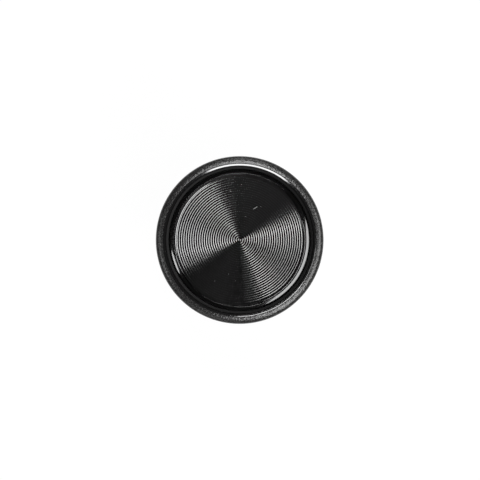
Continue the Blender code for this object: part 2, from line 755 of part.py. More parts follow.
def make_contacts():
    """Fixed and moving contact rivets of both poles. A rivet that faces the rear is turned over."""
    rivet = contact_rivet()
    flipped = rivet.copy()
    flipped.transform(Matrix.Rotation(math.pi, 4, "X"))
    rows = (
        ("no_fixed_contact", rivet, -1, no_fixed_face, fixed),
        ("no_bridge_contact", flipped, -1, no_contact_face, no_group),
        ("nc_fixed_contact", flipped, 1, nc_fixed_face, fixed),
        ("nc_bridge_contact", rivet, 1, nc_contact_face, nc_group),
    )
    for name, mesh, pole, level, parent in rows:
        for side, end in ((-1, "a"), (1, "b")):
            place = (pole * pole_x, side * contact_y, level)
            add_object(f"{name}_{end}", mesh, silver, parent, place)


def make_bridges():
    """Moving copper bars, one in each window of the carrier."""
    half_x = BRIDGE_WIDTH / 2
    hole_r = CONTACT_SHANK_DIAMETER / 2 + FIT_GAP
    rows = (
        ("no_bridge", -1, no_bridge_rear, no_bridge_front, no_group),
        ("nc_bridge", 1, nc_bridge_rear, nc_bridge_front, nc_group),
    )
    for name, pole, rear, front, parent in rows:
        x = pole * pole_x
        bar = block(name, (-half_x, half_x), (-bridge_y, bridge_y), (rear, front))
        bridge = add_object(name, bar, copper, parent, (x, 0, 0))
        hole = cylinder("rivet_hole", hole_r, rear - PAST, front + PAST, SMALL_SIDES)
        for side in (-1, 1):
            cut(bridge, hole, (x, side * contact_y, 0))


def screw_mesh(name, head_diameter, head_height, shank_diameter, length):
    """Mesh of a screw that points to +Z, with the underside of its head at level 0."""
    head_r, shank_r = head_diameter / 2, shank_diameter / 2
    edge = head_height / 4
    outline = [
        (0, -head_height),
        (head_r - edge, -head_height),
        (head_r, edge - head_height),
        (head_r, 0),
        (shank_r, 0),
        (shank_r, length - edge),
        (shank_r - edge / 2, length),
        (0, length),
    ]
    return turned(name, outline, SCREW_SIDES)


def add_screw(name, mesh, head_diameter, head_height, place):
    """A screw with a cross recess in its head."""
    screw = add_object(name, mesh, zinc, fixed, place)
    half, reach = DRIVER_SLOT_WIDTH / 2, head_diameter * 0.32
    depth = min(DRIVER_SLOT_DEPTH, 0.6 * head_height)
    levels = (-head_height - PAST, depth - head_height)
    for x, y in ((reach, half), (half, reach)):
        cut(screw, block("driver_slot", (-x, x), (-y, y), levels), place)


def make_terminal_hardware():
    """A captive screw and a clamp plate for each terminal, opened for a wire."""
    length = strip_front + TERMINAL_SCREW_REACH - head_front
    half_x, half_y = CLAMP_WIDTH / 2, CLAMP_DEPTH / 2
    for pole, kind in ((-1, "no"), (1, "nc")):
        for side, end in ((-1, "a"), (1, "b")):
            place = (pole * pole_x, side * terminal_y, head_front)
            mesh = screw_mesh(
                "terminal_screw",
                TERMINAL_HEAD_DIAMETER,
                TERMINAL_HEAD_HEIGHT,
                TERMINAL_SCREW_DIAMETER,
                length,
            )
            add_screw(
                f"{kind}_terminal_screw_{end}", mesh, TERMINAL_HEAD_DIAMETER, TERMINAL_HEAD_HEIGHT, place
            )
            plate = block("clamp", (-half_x, half_x), (-half_y, half_y), (clamp_rear, clamp_front))
            at = (place[0], place[1], 0)
            clamp = add_object(f"{kind}_terminal_clamp_{end}", plate, zinc, fixed, at)
            hole_r = TERMINAL_SCREW_DIAMETER / 2 + FIT_GAP
            cut(clamp, cylinder("clamp_hole", hole_r, clamp_rear - PAST, clamp_front + PAST, SMALL_SIDES), at)


def make_assembly_screws():
    """Two long screws that hold cover and housing to the barrel."""
    length = barrel_rear + ASSEMBLY_GRIP - assembly_head_front
    for side, end in ((-1, "a"), (1, "b")):
        place = (0, side * assembly_y, assembly_head_front)
        mesh = screw_mesh(
            "assembly_screw",
            ASSEMBLY_HEAD_DIAMETER,
            ASSEMBLY_HEAD_HEIGHT,
            ASSEMBLY_SCREW_DIAMETER,
            length,
        )
        add_screw(f"assembly_screw_{end}", mesh, ASSEMBLY_HEAD_DIAMETER, ASSEMBLY_HEAD_HEIGHT, place)


def make_springs():
    """Return spring, carrier spring and the two contact springs."""
    return_form = (RETURN_SPRING_WIRE, RETURN_SPRING_RADIUS, RETURN_SPRING_TURNS)
    coil("return_spring", *return_form, chamber_floor + FIT_GAP, cap_bottom - FIT_GAP, fixed)
    carrier_form = (CARRIER_SPRING_WIRE, CARRIER_SPRING_RADIUS, CARRIER_SPRING_TURNS)
    coil("carrier_spring", *carrier_form, cover_front + FIT_GAP, carrier_bore_front - FIT_GAP, fixed)
    form = (CONTACT_SPRING_WIRE, CONTACT_SPRING_RADIUS, CONTACT_SPRING_TURNS)
    low, high = no_bridge_front + FIT_GAP, no_window_front - FIT_GAP
    coil("no_contact_spring", *form, low, high, no_group, (-pole_x, 0))
    low, high = nc_window_rear + FIT_GAP, nc_bridge_rear - FIT_GAP
    coil("nc_contact_spring", *form, low, high, nc_group, (pole_x, 0))


for old in list(bpy.data.objects):
    bpy.data.objects.remove(old)

textured_black = finish("textured black", (0.035, 0.034, 0.034), 0.55)
gloss_black = finish("gloss black", (0.012, 0.012, 0.012), 0.18)
satin_black = finish("satin black", (0.018, 0.018, 0.018), 0.3)
case_black = finish("case black", (0.03, 0.03, 0.032), 0.5)
case_grey = finish("case grey", (0.16, 0.165, 0.17), 0.5)
dark_grey = finish("dark grey", (0.06, 0.06, 0.065), 0.5)
natural_white = finish("natural white", (0.72, 0.70, 0.64), 0.4)
rubber = finish("rubber", (0.02, 0.02, 0.02), 0.8)
zinc = finish("zinc", (0.62, 0.62, 0.6), 0.3, 1.0)
steel = finish("steel", (0.55, 0.55, 0.54), 0.3, 1.0)
brass = finish("brass", (0.75, 0.55, 0.24), 0.3, 1.0)
copper = finish("copper", (0.78, 0.42, 0.28), 0.3, 1.0)
silver = finish("silver", (0.85, 0.84, 0.82), 0.25, 1.0)

fixed = group("fixed_group")
button = group("button_group")
no_group = group("no_bridge_group")
nc_group = group("nc_bridge_group")
washer_group = group("washer_group")
nut_group = group("nut_group")

make_bezel_ring()
make_actuator_body()
make_panel_gasket()
make_thrust_washer()
make_lock_nut()
make_button_cap()
make_button_plate()
make_cap_seal_ring()
make_plunger()
make_retaining_clip()
make_contact_housing()
make_rear_cover()
make_contact_carrier()
make_terminals()
make_contacts()
make_bridges()
make_terminal_hardware()
make_assembly_screws()
make_springs()
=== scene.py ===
import json
import math

import bmesh
import bpy
from bpy.props import FloatProperty, FloatVectorProperty, IntProperty, PointerProperty
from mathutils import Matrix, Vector


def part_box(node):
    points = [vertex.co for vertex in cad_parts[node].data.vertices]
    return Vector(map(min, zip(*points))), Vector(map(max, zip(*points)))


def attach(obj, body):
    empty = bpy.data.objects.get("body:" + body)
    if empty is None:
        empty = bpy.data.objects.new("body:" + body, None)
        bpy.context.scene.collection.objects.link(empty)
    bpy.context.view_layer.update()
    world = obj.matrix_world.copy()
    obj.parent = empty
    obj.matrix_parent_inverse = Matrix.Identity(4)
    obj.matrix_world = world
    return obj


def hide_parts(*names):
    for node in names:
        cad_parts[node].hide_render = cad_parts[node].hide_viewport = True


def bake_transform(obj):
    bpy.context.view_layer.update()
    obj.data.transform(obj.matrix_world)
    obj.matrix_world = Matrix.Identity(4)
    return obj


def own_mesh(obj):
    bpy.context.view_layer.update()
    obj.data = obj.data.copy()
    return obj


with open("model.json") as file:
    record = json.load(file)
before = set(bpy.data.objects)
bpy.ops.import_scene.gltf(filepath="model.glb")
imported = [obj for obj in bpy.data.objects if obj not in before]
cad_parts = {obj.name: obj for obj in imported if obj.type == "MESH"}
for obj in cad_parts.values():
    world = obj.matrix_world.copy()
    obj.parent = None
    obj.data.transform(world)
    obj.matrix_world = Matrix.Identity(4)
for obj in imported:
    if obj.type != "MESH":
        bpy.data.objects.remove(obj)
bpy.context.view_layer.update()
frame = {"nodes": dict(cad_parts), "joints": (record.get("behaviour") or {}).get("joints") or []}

bl_info = {
    "name": "Panel push button",
    "version": (1, 0, 0),
    "blender": (4, 5, 0),
    "location": "View3D > Sidebar > Push button",
    "description": "Models and finishes a round panel push button around its packed solids",
    "category": "Add Mesh",
}

SLIDES = [joint for joint in frame["joints"] if joint["type"] == "slide"]
TRAVEL = {joint["name"]: joint["range_m"][1] for joint in SLIDES}
POLES = ("no", "nc")
ENDS = ("a", "b")

# Modelling, in metres and degrees
MERGE = 5e-7  # points closer than this are one
PAST = 1e-3  # how far a cutter runs past the wall that it cuts
FLAT = 0.5  # faces that meet at less than this are one flat face
SHARP = 40  # edges that turn by more than this are rounded
SMOOTH = 35  # edges that turn by less than this are shaded smooth
WIRE_SIDES = 14  # facets round a spring's wire

# Threads and screw heads
THREAD_FOOT = 0.42  # half a ridge's width at its foot, as a share of the pitch
THREAD_CREST = 0.07  # half a ridge's width at its crest, as a share of the pitch
SCREW_THREAD = 0.55  # depth of a screw's thread, as a share of its pitch
TERMINAL_PITCH = 0.5e-3
ASSEMBLY_PITCH = 0.9e-3
RECESS_REACH = 0.64  # half a driver slot's length, as a share of the head's radius
RECESS_DEPTH = 0.5  # depth of the driver slots, as a share of the head's height

# Marks, in metres. Ends, sides, top and foot: where a mark has faded out and where it is full
SCRATCH_PLACE = (2.75e-3, 5.65e-3)
SCRATCH_SLANT = math.radians(31)
SCRATCH_ENDS = (0.55e-3, 0.3e-3)
SCRATCH_SIDES = (0.07e-3, 0.02e-3)
# The gap round the cap is painted lighter between these depths: dust there, and painted light
# where it lies in shade
GAP_DUST_AND_LIGHT_TOP = (0.1e-3, 0.4e-3)  # depths below the lip
GAP_DUST_AND_LIGHT_FOOT = (3e-3, 2e-3)

# Stage
CAMERA_SHIFT = (0.058e-3, 0.004e-3)  # sets the bezel a little off the picture's middle
SENSOR = 36  # millimetres
CLIP = (0.01, 10)
FLOOR_RADIUS = 1.5
FLOOR_GLOW = 0.95  # share of the floor's look that is even white, so the rest keeps the shadow
HORIZON = (0.02, 0.3)  # heights between which the studio darkens
STUDIO = (0.25, 0.02)  # its strength below and above them
LAMP_DISTANCE = 0.5
# Azimuth and height in degrees, width and height in metres, and watts
LAMPS = {
    "key lamp": (-25, 49, 0.62, 0.16, 1.95),
    "low wing": (-58, 40, 0.24, 0.06, 0.18),
    "low tip": (-68, 40, 0.24, 0.06, 0.08),
    "high wing": (8, 40, 0.24, 0.06, 0.18),
    "high tip": (20, 40, 0.24, 0.06, 0.08),
    "wedge lamp": (62, 40, 0.42, 0.07, 0.04),
    "top lamp": (83, 68, 0.23, 0.17, 1.6),
    "low lamp": (-64, 59, 0.28, 0.07, 1.1),
    "back lamp": (86, 29, 0.32, 0.08, 0.4),
    "front lamp": (-115, 29, 0.28, 0.08, 0.2),
    "left lamp": (-161, 45, 0.12, 0.08, 0.24),
    "side lamp": (177, 40, 0.22, 0.06, 0.15),
}


def reach(node):
    """How far a round node stands out from the button's axis."""
    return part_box(node)[1].x


def bottom(node):
    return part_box(node)[0].z


def top(node):
    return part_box(node)[1].z


def middle(node):
    low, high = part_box(node)
    return (low + high) / 2


def setting(kind, **fixed):
    """A maker of one kind of property that a user can change."""
    return lambda description, default: kind(description=description, default=default, **fixed)


count = setting(IntProperty, min=1)
length = setting(FloatProperty, unit="LENGTH", precision=6)
angle = setting(FloatProperty, unit="ROTATION", subtype="ANGLE")
colour = setting(FloatVectorProperty, subtype="COLOR", size=3, min=0, max=1)


def turn(description, degrees):
    return angle(description, math.radians(degrees))


class PushButtonSizes(bpy.types.PropertyGroup):
    """Sizes of the push button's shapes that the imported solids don't give."""

    sides: count("Facets round a large turned piece", 240)
    small_sides: count("Facets round a small turned piece", 48)
    arc_steps: count("Facets along a rounded edge", 8)
    fit_gap: length("Gap between pieces that sit in each other", 0.12e-3)
    bezel_wall: length("Thickness of the bezel ring", 1.24e-3)
    bezel_gap: length("Gap between the bezel and the cup", 0.03e-3)
    bezel_round: length("Height of the bezel's rounded front", 0.85e-3)
    bezel_dome: length("Half width of the ellipse along the bezel's front", 1.45e-3)
    bezel_chamfer: length("Chamfer round the bezel's foot", 0.3e-3)
    cup_wall: length("Thickness of the cup's wall", 1.0e-3)
    lip_width: length("Width of the cup's lip", 0.38e-3)
    lip_slope: turn("Outward slope of the cup's lip", 11)
    lip_drop: length("How far the lip stays behind the bezel's front", 0.05e-3)
    lip_edge: length("Width of the steeper edge round the lip", 0.10e-3)
    lip_fall: turn("Slope of the steeper edge round the lip", 15.5)
    lip_cone: length("Depth of the cone inside the cup's lip", 1.5e-3)
    flange: length("Thickness of the flange under the cup", 1.1e-3)
    barrel_radius: length("Outer radius of the thread", 11.0e-3)
    barrel_wall: length("Thickness of the barrel's wall", 2.4e-3)
    guide_radius: length("Radius of the plunger's guide bore", 4.15e-3)
    guide_length: length("Length of the plunger's guide bore", 4.0e-3)
    thread_pitch: length("Pitch of the barrel's thread", 1.5e-3)
    thread_depth: length("Depth of the barrel's thread", 0.85e-3)
    key_width: length("Width of the key that stops the barrel turning", 3.0e-3)
    key_height: length("How far the key stands out from the barrel", 1.75e-3)
    key_depth: length("How far the key reaches into the panel", 0.9e-3)
    keyway_width: length("Width of the slot for the washer's tooth", 2.1e-3)
    keyway_depth: length("Depth of the slot for the washer's tooth", 0.8e-3)
    cap_rim: length("Width of the rim round the plate", 0.62e-3)
    rim_slope: turn("Outward slope of the cap's rim", 21)
    rim_round: length("Radius of the rim's edges", 0.03e-3)
    cap_floor: length("Depth of the plate's seat below the rim", 1.37e-3)
    cap_shoulder: length("Thickness of the shoulder below the seal", 0.2e-3)
    boss_radius: length("Radius of the boss under the cap", 4.57e-3)
    seal_cord: length("Thickness of the seal ring", 0.8e-3)
    plate_thickness: length("Thickness of the plate", 0.9e-3)
    border_slope: turn("Slope along both edges of the plate's smooth border", 21)
    border_edge: length("Width of the slopes along the plate's border", 0.1e-3)
    plate_chamfer: length("Chamfer under the plate", 0.15e-3)
    stub_radius: length("Radius of the stub under the plate", 1.5e-3)
    groove_pitch: length("Distance between the plate's grooves", 0.4e-3)
    groove_count: count("Number of the plate's grooves", 28)
    groove_width: length("Width of a groove between its flat lands", 0.14e-3)
    flank_steps: count("Facets across a groove's flank", 3)
    flank_foot: turn("Slope of a groove's flank at its foot", 26)
    flank_head: turn("Slope of a groove's flank at its crest", 20)
    spigot_radius: length("Radius of the plunger's spigot", 2.85e-3)
    spigot_length: length("Length of the plunger's spigot", 4.0e-3)
    clip_groove: length("Depth of the clip's groove in the plunger", 0.7e-3)
    clip_split: length("Width of the split in the clip", 2.4e-3)
    nut_grips: count("Finger grips round the nut", 12)
    nut_turn: turn("Turn of the nut's first grip", 3.75)
    nut_grip_radius: length("Radius of a finger grip", 1.3e-3)
    nut_chamfer: length("Chamfer along the nut's edges", 0.35e-3)
    case_corner: length("Radius of the contact block's corners", 3.0e-3)
    case_wall: length("Thickness of the contact block's side walls", 1.4e-3)
    case_front: length("Thickness of the contact block's front wall", 2.0e-3)
    pocket_width: length("Width of a terminal's pocket", 5.4e-3)
    pillar: length("Half the depth of the carrier's channel", 5.85e-3)
    cover_thickness: length("Thickness of the rear cover", 2.4e-3)
    post_radius: length("Radius of the carrier spring's post", 0.7e-3)
    strip: length("Thickness of a terminal strip", 0.7e-3)
    terminal_head: length("Height of a terminal screw's head", 2.1e-3)
    terminal_shank: length("Radius of a terminal screw's shank", 1.5e-3)
    assembly_head: length("Height of an assembly screw's head", 1.4e-3)
    assembly_shank: length("Radius of an assembly screw's shank", 1.15e-3)
    driver_slot: length("Width of the slots in a screw's head", 0.8e-3)
    contact_head: length("Height of a contact rivet's head", 0.6e-3)
    contact_shank: length("Radius of a contact rivet's shank", 0.7e-3)
    return_wire: length("Wire of the return spring", 0.9e-3)
    fine_wire: length("Wire of the carrier and contact springs", 0.4e-3)
    soft_edge: length("Rounding of moulded edges", 0.16e-3)
    metal_edge: length("Rounding of stamped edges", 0.07e-3)
    floor_drop: length("Gap between the rear cover and the floor", 0.3e-3)
    camera_height: length("Camera's height over the bezel", 0.45)
    view_width: length("Width that the picture shows at the bezel", 84.25e-3)


class PushButtonColours(bpy.types.PropertyGroup):
    """Colours of the push button's materials."""

    textured_black: colour("Grained plastic of the bezel ring", (0.019, 0.0187, 0.0184))
    gloss_black: colour("Polished plastic of the cup and barrel", (0.005, 0.005, 0.005))
    cap_black: colour("Deep black plastic of the cap", (0.0015, 0.0015, 0.0015))
    satin_black: colour("Turned plate", (0.002, 0.002, 0.002))
    rubber: colour("Seals", (0.02, 0.02, 0.02))
    dark_grey: colour("Plastic of the lock nut", (0.055, 0.056, 0.06))
    case_black: colour("Plastic of the contact block", (0.028, 0.028, 0.03))
    case_grey: colour("Plastic of the rear cover", (0.16, 0.165, 0.17))
    natural_white: colour("Natural plastic of plunger and carrier", (0.68, 0.66, 0.60))
    zinc: colour("Zinc-plated screws, clamps and washer", (0.62, 0.62, 0.60))
    spring_steel: colour("Spring wire and clip", (0.52, 0.52, 0.51))
    brass: colour("Terminal strips", (0.72, 0.52, 0.22))
    copper: colour("Contact bridges", (0.76, 0.40, 0.26))
    silver: colour("Contact rivets", (0.82, 0.81, 0.79))
    # Also the colour that the gap round the cap is painted towards: dust there, and painted light
    # in its shade
    dust: colour("Dust, scratches and haze", (0.2, 0.2, 0.2))
    floor: colour("Floor under the button", (0.9, 0.9, 0.9))


class Value:
    """A shader value that can stand in arithmetic."""

    def __init__(self, paint, socket):
        self.paint = paint
        self.socket = socket

    def __add__(self, other):
        return self.paint.maths("ADD", self, other)

    def __sub__(self, other):
        return self.paint.maths("SUBTRACT", self, other)

    def __rsub__(self, other):
        return self.paint.maths("SUBTRACT", other, self)

    def __mul__(self, other):
        return self.paint.maths("MULTIPLY", self, other)

    def __gt__(self, other):
        return self.paint.maths("GREATER_THAN", self, other)

    def __abs__(self):
        return self.paint.maths("ABSOLUTE", self)

    __radd__ = __add__
    __rmul__ = __mul__


class Paint:
    """The nodes of one material or world."""

    def __init__(self, owner):
        owner.use_nodes = True
        self.owner = owner
        self.tree = owner.node_tree
        self.place = self.node("ShaderNodeTexCoord", output="Object")

    def node(self, kind, settings=None, sockets=None, output=0):
        """A node with its settings and then its sockets' values or links."""
        made = self.tree.nodes.new(kind)
        for name, value in (settings or {}).items():
            setattr(made, name, value)
        for name, value in (sockets or {}).items():
            self.feed(made.inputs[name], value)
        return Value(self, made.outputs[output])

    def feed(self, socket, value):
        if isinstance(value, Value):
            self.tree.links.new(value.socket, socket)
        else:
            socket.default_value = value

    def maths(self, operation, *values):
        return self.node("ShaderNodeMath", {"operation": operation}, dict(enumerate(values)))

    def mix(self, amount, low, high):
        """A colour between two others."""
        sockets = {0: amount, 6: full(low), 7: full(high)}
        return self.node("ShaderNodeMix", {"data_type": "RGBA"}, sockets, output=2)

    def span(self, value, low, high, start=0.0, end=1.0):
        """A value carried smoothly from one range to another, and held at its ends."""
        sockets = {"Value": value, "From Min": low, "From Max": high}
        sockets |= {"To Min": start, "To Max": end}
        return self.node("ShaderNodeMapRange", {"interpolation_type": "SMOOTHSTEP"}, sockets)

    def noise(self, size, detail=2.0, place=None):
        """Noise from 0 to 1 whose lumps have a size in metres."""
        sockets = {"Vector": place or self.place, "Scale": 1 / size, "Detail": detail}
        return self.node("ShaderNodeTexNoise", {}, sockets)

    def cells(self, size):
        """Distance to the nearest of points scattered about a size in metres apart."""
        return self.node("ShaderNodeTexVoronoi", {}, {"Vector": self.place, "Scale": 1 / size})

    def stretched(self, x, y, z):
        """The place on the piece, scaled so that a pattern runs long where its share is small."""
        return self.node("ShaderNodeMapping", {}, {"Vector": self.place, "Scale": (x, y, z)})

    def outputs(self, kind, **sockets):
        """All outputs of a node, by name."""
        made = self.node(kind, {}, sockets).socket.node
        return {out.name: Value(self, out) for out in made.outputs}

    def position(self):
        """The place's three coordinates and its distance from the button's axis."""
        axes = self.outputs("ShaderNodeSeparateXYZ", Vector=self.place)
        x, y, z = axes["X"], axes["Y"], axes["Z"]
        return x, y, z, self.maths("SQRT", x * x + y * y)

    def finish(self, base, roughness, height=None, depth=0.0, **constant):
        """Feeds the shader. A height from 0 to 1 stands for a relief of that depth in metres."""
        shader = self.tree.nodes["Principled BSDF"]
        self.feed(shader.inputs["Base Color"], full(base))
        self.feed(shader.inputs["Roughness"], roughness)
        for name, value in constant.items():
            self.feed(shader.inputs[name], value)
        if height:
            sockets = {"Height": height, "Distance": depth, "Strength": 1.0}
            self.feed(shader.inputs["Normal"], self.node("ShaderNodeBump", {}, sockets))


def full(base):
    """A colour with its alpha, or a value as it is."""
    return base if isinstance(base, Value) else (*base, 1.0)


def shade(base, share):
    return [channel * share for channel in base]


def grained(paint, base):
    """Spark-eroded plastic: small rounded pits with glints on the lands between them."""
    pits = paint.cells(0.36e-3)
    lumps = paint.noise(0.3e-3, detail=3.0)
    broad = paint.noise(3e-3)
    worn = paint.mix(broad, shade(base, 0.8), shade(base, 1.2))
    # The grain's low spots are painted down to half the colour: painted shade in the hollows of
    # the relief
    tint = paint.mix(paint.span(lumps, 0.4, 0.65), shade(base, 0.5), worn)
    rough = 0.16 + 0.18 * lumps
    paint.finish(tint, rough, height=pits * 0.5 + lumps, depth=4e-5, IOR=1.45)


def polished(paint, base):
    """Polished plastic with haze, hairline scratches and dust; the gap round the cap is painted
    lighter, dust there and painted light where it lies in shade.
    """
    haze = paint.noise(2.5e-3, detail=4.0)
    hairs = paint.noise(0.12e-3, place=paint.stretched(1.0, 0.08, 0.3))
    dust = paint.span(paint.cells(0.9e-3), 0.05, 0.03)
    _, _, z, radius = paint.position()
    lip = top("actuator_body")
    upper = paint.span(z, *(lip - depth for depth in GAP_DUST_AND_LIGHT_TOP))
    lower = paint.span(z, *(lip - depth for depth in GAP_DUST_AND_LIGHT_FOOT))
    # The gap between the cup and the cap is painted lighter: dust there, and painted light where
    # it lies in shade
    gap_dust_and_painted_light = upper * lower * (radius > reach("button_cap"))
    tint = paint.mix(dust * 0.6 + gap_dust_and_painted_light * 0.1, base, colours().dust)
    rough = 0.06 + 0.06 * haze + 0.25 * dust
    paint.finish(tint, rough, height=hairs, depth=0.4e-6, IOR=1.65)


def machined(paint, base):
    """Turned face: grooves duller than the lands between them, lands painted darker as painted
    shade, dust specks and a light scratch.
    """
    x, y, _, radius = paint.position()
    grooves = 0.5 - 0.5 * paint.maths("COSINE", radius * (math.tau / sizes().groove_pitch))
    wander = paint.noise(1.2e-3, detail=3.0)
    specks = paint.span(paint.cells(0.85e-3), 0.055, 0.03) * (paint.noise(2.2e-3) > 0.56)
    x, y = x - SCRATCH_PLACE[0], y - SCRATCH_PLACE[1]
    along = x * math.cos(SCRATCH_SLANT) + y * math.sin(SCRATCH_SLANT)
    across = y * math.cos(SCRATCH_SLANT) - x * math.sin(SCRATCH_SLANT)
    scratch = paint.span(abs(along), *SCRATCH_ENDS) * paint.span(abs(across), *SCRATCH_SIDES)
    marks = paint.maths("MINIMUM", specks + scratch * 0.6, 1.0)
    # The lands between the grooves are painted darker than the grooves: painted shade that draws
    # the groove lines
    painted_shade_on_lands = paint.mix(grooves, shade(base, 0.1), base)
    tint = paint.mix(marks, painted_shade_on_lands, colours().dust)
    rough = 0.08 + 0.03 * grooves + 0.04 * wander + 0.3 * marks
    paint.finish(tint, rough, height=wander, depth=0.3e-6, IOR=2.0)


def moulded(paint, base):
    """Moulded plastic with a fine grain, flow clouds and rubbed patches."""
    cloud = paint.noise(4e-3, detail=4.0)
    skin = paint.noise(0.2e-3, detail=3.0)
    rubbed = paint.span(paint.noise(6e-3, detail=5.0), 0.55, 0.7)
    tint = paint.mix(cloud, shade(base, 0.82), shade(base, 1.2))
    rough = 0.42 + 0.18 * skin - 0.1 * rubbed
    paint.finish(tint, rough, height=skin, depth=0.8e-5)


def bloomed(paint, base):
    """Matt rubber with a bloom of dust."""
    bloom = paint.noise(1.5e-3, detail=5.0)
    skin = paint.noise(0.1e-3)
    tint = paint.mix(paint.span(bloom, 0.45, 0.75), base, shade(base, 2.2))
    paint.finish(tint, 0.7 + 0.2 * skin, height=skin, depth=1.2e-5)


def plated(paint, base):
    """Bare or plated metal with a cloudy film, fine scratches and tarnish spots."""
    film = paint.noise(1.8e-3, detail=4.0)
    lines = paint.noise(0.09e-3, place=paint.stretched(1.0, 0.3, 0.15))
    spots = paint.span(paint.noise(0.5e-3, detail=3.0), 0.66, 0.78)
    tint = paint.mix(film, shade(base, 0.78), shade(base, 1.12))
    tarnish = paint.mix(spots * 0.35, tint, shade(base, 0.35))
    rough = 0.24 + 0.16 * film + 0.1 * lines + 0.2 * spots
    paint.finish(tarnish, rough, height=lines, depth=2e-6, Metallic=1.0)


FINISHES = {
    "textured_black": grained,
    "gloss_black": polished,
    "cap_black": polished,
    "satin_black": machined,
    "rubber": bloomed,
    "dark_grey": moulded,
    "case_black": moulded,
    "case_grey": moulded,
    "natural_white": moulded,
    "zinc": plated,
    "spring_steel": plated,
    "brass": plated,
    "copper": plated,
    "silver": plated,
}


def sizes():
    return bpy.context.scene.push_button_sizes


def colours():
    return bpy.context.scene.push_button_colours


def material(finish):
    """The material of a finish, made when it is first asked for."""
    name = f"finish_{finish}"
    if name not in bpy.data.materials:
        paint = Paint(bpy.data.materials.new(name))
        FINISHES[finish](paint, getattr(colours(), finish))
    return bpy.data.materials[name]


def deselect():
    bpy.ops.object.select_all(action="DESELECT")


def hold(piece):
    """Makes one object the only one that operators act on."""
    deselect()
    piece.select_set(True)
    bpy.context.view_layer.objects.active = piece


def newest(name):
    """Names the object that an operator has just added, and applies its place to its mesh."""
    piece = bpy.context.object
    piece.name = piece.data.name = name
    bpy.ops.object.transform_apply(location=True, rotation=True, scale=True)
    return piece


def apply(piece, kind, **settings):
    """Adds a modifier to a piece and applies it."""
    hold(piece)
    modifier = piece.modifiers.new(kind.lower(), kind)
    for name, value in settings.items():
        setattr(modifier, name, value)
    bpy.ops.object.modifier_apply(modifier=modifier.name)


def smooth(piece, degrees=SMOOTH):
    """Shades a piece smooth across its blunt edges."""
    hold(piece)
    bpy.ops.object.shade_smooth_by_angle(angle=math.radians(degrees))


def close_up(piece, fill=False):
    """Merges a piece's doubles, closes its ends if asked, and turns its faces outwards."""
    hold(piece)
    bpy.ops.object.mode_set(mode="EDIT")
    bpy.ops.mesh.select_all(action="SELECT")
    bpy.ops.mesh.remove_doubles(threshold=MERGE)
    if fill:
        bpy.ops.mesh.fill_holes(sides=0)
        bpy.ops.mesh.select_all(action="SELECT")
    bpy.ops.mesh.normals_make_consistent(inside=False)
    bpy.ops.object.mode_set(mode="OBJECT")
    smooth(piece)


def drawn(name, outline):
    """A line through (radius, level) points at +X, drawn by extruding one point."""
    deselect()
    bpy.ops.mesh.primitive_plane_add(size=PAST)
    piece = newest(name)
    bpy.ops.object.mode_set(mode="EDIT")
    bpy.ops.mesh.merge(type="CENTER")
    radius, level = outline[0]
    bpy.ops.transform.translate(value=(radius, 0, level))
    for (r0, z0), (r1, z1) in zip(outline, outline[1:]):
        step = {"value": (r1 - r0, 0, z1 - z0)}
        bpy.ops.mesh.extrude_vertices_move(TRANSFORM_OT_translate=step)
    bpy.ops.object.mode_set(mode="OBJECT")
    return piece


def sweep(piece, sides, turns=1, pitch=0):
    """Sweeps an outline round the button's axis, and up it by the pitch in each turn."""
    steps = round(sides * turns)
    apply(
        piece,
        "SCREW",
        angle=math.tau * turns,
        screw_offset=pitch * turns,
        steps=steps,
        render_steps=steps,
        use_merge_vertices=False,
    )


def turned(name, outline, sides, place=(0, 0)):
    """A piece turned about an upright axis. An outline off the axis makes a ring."""
    if outline[0][0] > 0 or outline[-1][0] > 0:
        outline = [*outline, outline[0]]
    piece = drawn(name, outline)
    sweep(piece, sides)
    move(piece, place)
    close_up(piece)
    return piece


def wound(piece, pitch, turns, sides):
    """Winds an outline up the button's axis as a closed helix."""
    sweep(piece, sides, turns, pitch)
    close_up(piece, fill=True)
    return piece


def thread(name, radius, depth, pitch, low, high, sides):
    """The ridge of an outside thread between two levels, sunk a little into its core."""
    root = radius - depth
    sunk = root - depth / 4
    foot, crest = pitch * THREAD_FOOT, pitch * THREAD_CREST
    lower = [(sunk, -foot), (root, -foot), (radius, -crest)]
    upper = [(r, -z) for r, z in reversed(lower)]
    outline = [(r, z + low + foot) for r, z in lower + upper]
    piece = drawn(name, [*outline, outline[0]])
    return wound(piece, pitch, (high - low - 2 * foot) / pitch, sides)


def coil(name, wire, radius, turns, low, high, place=(0, 0)):
    """A spring of round wire between two levels."""
    deselect()
    at, upright = (radius, 0, low + wire / 2), (math.pi / 2, 0, 0)
    bpy.ops.mesh.primitive_circle_add(
        vertices=WIRE_SIDES, radius=wire / 2, location=at, rotation=upright
    )
    piece = newest(name)
    wound(piece, (high - low - wire) / turns, turns, sizes().small_sides)
    move(piece, place)
    return piece


def move(piece, place):
    """Moves a piece's mesh sideways and leaves its object at the origin."""
    hold(piece)
    bpy.ops.transform.translate(value=(*place, 0))
    bpy.ops.object.transform_apply(location=True, rotation=True, scale=True)


def block(name, low, high):
    """A box between two corners."""
    deselect()
    low, high = Vector(low), Vector(high)
    bpy.ops.mesh.primitive_cube_add(size=1, location=(low + high) / 2, scale=high - low)
    return newest(name)


def rod(name, radius, low, high, place=(0, 0)):
    """An upright cylinder between two levels."""
    deselect()
    at = (*place, (low + high) / 2)
    bpy.ops.mesh.primitive_cylinder_add(
        vertices=sizes().small_sides, radius=radius, depth=high - low, location=at
    )
    return newest(name)


def combine(piece, tool, operation="DIFFERENCE"):
    """Cuts a tool shape out of a piece, or joins it on, and removes the tool."""
    apply(piece, "BOOLEAN", operation=operation, object=tool)
    bpy.data.objects.remove(tool)


def drill(piece, radius, low, high, place=(0, 0)):
    combine(piece, rod("drill", radius, low, high, place))


